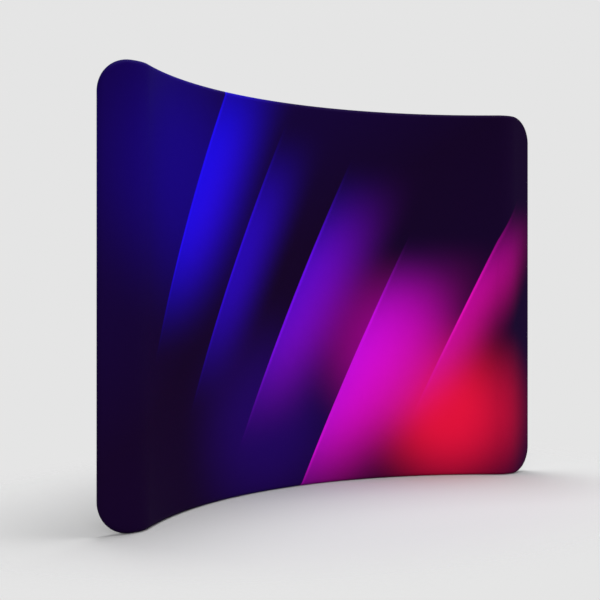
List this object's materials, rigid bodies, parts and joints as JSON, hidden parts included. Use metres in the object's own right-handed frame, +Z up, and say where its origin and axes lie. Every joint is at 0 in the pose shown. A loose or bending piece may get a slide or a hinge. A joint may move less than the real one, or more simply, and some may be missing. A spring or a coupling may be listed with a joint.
{
  "type": "curved stretch-fabric display backwall",
  "caption": "Free-standing curved backwall: a bent tube frame of plugged sections inside a printed stretch-fabric cover that is closed with a zip at the back.",
  "frame": {"origin": "middle of the wall's footprint, on the floor", "axes": "+X along the wall to the right as seen from the printed front, +Y to the back, +Z up; the concave printed front faces -Y"},
  "size_m": [3.114, 0.5566, 2.3],
  "materials": {
    "frame_tube": "satin anodised",
    "coupler_tube": "mill finish, drawn",
    "rivet": "bright",
    "spring_steel": "zinc plated",
    "printed_fabric": "dye-printed warp-knit stretch polyester, matt",
    "back_fabric": "plain warp-knit stretch polyester, matt",
    "zip_tape": "woven tape",
    "zip_coil": "nylon coil",
    "zip_metal": "black electrocoat"
  },
  "bodies": {
    "wall": {"top_rail_left": "frame_tube", "top_rail_centre": "frame_tube", "top_rail_right": "frame_tube", "bottom_rail_left": "frame_tube", "bottom_rail_centre": "frame_tube", "bottom_rail_right": "frame_tube", "corner_top_left": "frame_tube", "corner_top_right": "frame_tube", "corner_bottom_left": "frame_tube", "corner_bottom_right": "frame_tube", "end_post_left_upper": "frame_tube", "end_post_left_lower": "frame_tube", "end_post_right_upper": "frame_tube", "end_post_right_lower": "frame_tube", "support_post_left_upper": "frame_tube", "support_post_left_lower": "frame_tube", "support_post_right_upper": "frame_tube", "support_post_right_lower": "frame_tube", "support_stubs": "coupler_tube", "rail_couplers_top": "coupler_tube", "rail_couplers_bottom": "coupler_tube", "post_couplers": "coupler_tube", "joint_rivets": "rivet", "leaf_feet": "spring_steel", "front_panel": "printed_fabric", "back_panel": "back_fabric", "lower_back_band": "back_fabric", "zip_tape_upper": "zip_tape", "zip_tape_lower": "zip_tape", "zip_coil_upper": "zip_coil", "zip_coil_lower": "zip_coil", "zip_stops": "zip_metal"},
    "button_top_left_outer": {"button_top_left_outer": "spring_steel"},
    "button_top_left_inner": {"button_top_left_inner": "spring_steel"},
    "button_bottom_left_outer": {"button_bottom_left_outer": "spring_steel"},
    "button_bottom_left_inner": {"button_bottom_left_inner": "spring_steel"},
    "button_end_left_low": {"button_end_left_low": "spring_steel"},
    "button_end_left_mid": {"button_end_left_mid": "spring_steel"},
    "button_end_left_high": {"button_end_left_high": "spring_steel"},
    "button_support_left_low": {"button_support_left_low": "spring_steel"},
    "button_support_left_mid": {"button_support_left_mid": "spring_steel"},
    "button_support_left_high": {"button_support_left_high": "spring_steel"},
    "button_top_right_outer": {"button_top_right_outer": "spring_steel"},
    "button_top_right_inner": {"button_top_right_inner": "spring_steel"},
    "button_bottom_right_outer": {"button_bottom_right_outer": "spring_steel"},
    "button_bottom_right_inner": {"button_bottom_right_inner": "spring_steel"},
    "button_end_right_low": {"button_end_right_low": "spring_steel"},
    "button_end_right_mid": {"button_end_right_mid": "spring_steel"},
    "button_end_right_high": {"button_end_right_high": "spring_steel"},
    "button_support_right_low": {"button_support_right_low": "spring_steel"},
    "button_support_right_mid": {"button_support_right_mid": "spring_steel"},
    "button_support_right_high": {"button_support_right_high": "spring_steel"},
    "zip_slider": {"zip_slider": "zip_metal"},
    "zip_pull": {"zip_pull": "zip_metal"}
  },
  "joints": [
    {"name": "button_top_left_outer_press", "type": "hinge", "parent": "wall", "child": "button_top_left_outer", "pos_m": [-1.18515, -0.13999, 2.25313], "axis": [-0.6013, 0.799, 0], "range_deg": [0, 5.5], "stiffness_Nm_per_rad": 1.2},
    {"name": "button_top_left_inner_press", "type": "hinge", "parent": "wall", "child": "button_top_left_inner", "pos_m": [-0.40535, 0.20745, 2.25313], "axis": [-0.2133, 0.977, 0], "range_deg": [0, 5.5], "stiffness_Nm_per_rad": 1.2},
    {"name": "button_bottom_left_outer_press", "type": "hinge", "parent": "wall", "child": "button_bottom_left_outer", "pos_m": [-1.18515, -0.13999, 0.04607], "axis": [0.6013, -0.799, 0], "range_deg": [0, 5.5], "stiffness_Nm_per_rad": 1.2},
    {"name": "button_bottom_left_inner_press", "type": "hinge", "parent": "wall", "child": "button_bottom_left_inner", "pos_m": [-0.40535, 0.20745, 0.04607], "axis": [0.2133, -0.977, 0], "range_deg": [0, 5.5], "stiffness_Nm_per_rad": 1.2},
    {"name": "button_end_left_low_press", "type": "hinge", "parent": "wall", "child": "button_end_left_low", "pos_m": [-1.51027, -0.23739, 0.24385], "axis": [-0.1132, -0.9936, 0], "range_deg": [0, 5.5], "stiffness_Nm_per_rad": 1.2},
    {"name": "button_end_left_mid_press", "type": "hinge", "parent": "wall", "child": "button_end_left_mid", "pos_m": [-1.51027, -0.23739, 1.12815], "axis": [-0.1132, -0.9936, 0], "range_deg": [0, 5.5], "stiffness_Nm_per_rad": 1.2},
    {"name": "button_end_left_high_press", "type": "hinge", "parent": "wall", "child": "button_end_left_high", "pos_m": [-1.51027, -0.23739, 2.05535], "axis": [0.1132, 0.9936, 0], "range_deg": [0, 5.5], "stiffness_Nm_per_rad": 1.2},
    {"name": "button_support_left_low_press", "type": "hinge", "parent": "wall", "child": "button_support_left_low", "pos_m": [-0.57158, 0.16553, 0.07885], "axis": [0.2955, -0.9553, 0], "range_deg": [0, 5.5], "stiffness_Nm_per_rad": 1.2},
    {"name": "button_support_left_mid_press", "type": "hinge", "parent": "wall", "child": "button_support_left_mid", "pos_m": [-0.57158, 0.16553, 1.12815], "axis": [0.2955, -0.9553, 0], "range_deg": [0, 5.5], "stiffness_Nm_per_rad": 1.2},
    {"name": "button_support_left_high_press", "type": "hinge", "parent": "wall", "child": "button_support_left_high", "pos_m": [-0.57158, 0.16553, 2.22035], "axis": [-0.2955, 0.9553, 0], "range_deg": [0, 5.5], "stiffness_Nm_per_rad": 1.2},
    {"name": "button_top_right_outer_press", "type": "hinge", "parent": "wall", "child": "button_top_right_outer", "pos_m": [1.18515, -0.13999, 2.25313], "axis": [-0.6013, -0.799, 0], "range_deg": [0, 5.5], "stiffness_Nm_per_rad": 1.2},
    {"name": "button_top_right_inner_press", "type": "hinge", "parent": "wall", "child": "button_top_right_inner", "pos_m": [0.40535, 0.20745, 2.25313], "axis": [-0.2133, -0.977, 0], "range_deg": [0, 5.5], "stiffness_Nm_per_rad": 1.2},
    {"name": "button_bottom_right_outer_press", "type": "hinge", "parent": "wall", "child": "button_bottom_right_outer", "pos_m": [1.18515, -0.13999, 0.04607], "axis": [0.6013, 0.799, 0], "range_deg": [0, 5.5], "stiffness_Nm_per_rad": 1.2},
    {"name": "button_bottom_right_inner_press", "type": "hinge", "parent": "wall", "child": "button_bottom_right_inner", "pos_m": [0.40535, 0.20745, 0.04607], "axis": [0.2133, 0.977, 0], "range_deg": [0, 5.5], "stiffness_Nm_per_rad": 1.2},
    {"name": "button_end_right_low_press", "type": "hinge", "parent": "wall", "child": "button_end_right_low", "pos_m": [1.51027, -0.23739, 0.24385], "axis": [-0.1132, 0.9936, 0], "range_deg": [0, 5.5], "stiffness_Nm_per_rad": 1.2},
    {"name": "button_end_right_mid_press", "type": "hinge", "parent": "wall", "child": "button_end_right_mid", "pos_m": [1.51027, -0.23739, 1.12815], "axis": [-0.1132, 0.9936, 0], "range_deg": [0, 5.5], "stiffness_Nm_per_rad": 1.2},
    {"name": "button_end_right_high_press", "type": "hinge", "parent": "wall", "child": "button_end_right_high", "pos_m": [1.51027, -0.23739, 2.05535], "axis": [0.1132, -0.9936, 0], "range_deg": [0, 5.5], "stiffness_Nm_per_rad": 1.2},
    {"name": "button_support_right_low_press", "type": "hinge", "parent": "wall", "child": "button_support_right_low", "pos_m": [0.57158, 0.16553, 0.07885], "axis": [0.2955, 0.9553, 0], "range_deg": [0, 5.5], "stiffness_Nm_per_rad": 1.2},
    {"name": "button_support_right_mid_press", "type": "hinge", "parent": "wall", "child": "button_support_right_mid", "pos_m": [0.57158, 0.16553, 1.12815], "axis": [0.2955, 0.9553, 0], "range_deg": [0, 5.5], "stiffness_Nm_per_rad": 1.2},
    {"name": "button_support_right_high_press", "type": "hinge", "parent": "wall", "child": "button_support_right_high", "pos_m": [0.57158, 0.16553, 2.22035], "axis": [-0.2955, -0.9553, 0], "range_deg": [0, 5.5], "stiffness_Nm_per_rad": 1.2},
    {"name": "zip_travel", "type": "hinge", "parent": "wall", "child": "zip_slider", "pos_m": [0, -1.75117, 0.075], "axis": [0, 0, 1], "range_deg": [0, 73.1]},
    {"name": "zip_pull_swing", "type": "hinge", "parent": "zip_slider", "child": "zip_pull", "pos_m": [1.21027, -0.12015, 0.075], "axis": [0.5959, 0.8031, 0], "continuous": true}
  ]
}
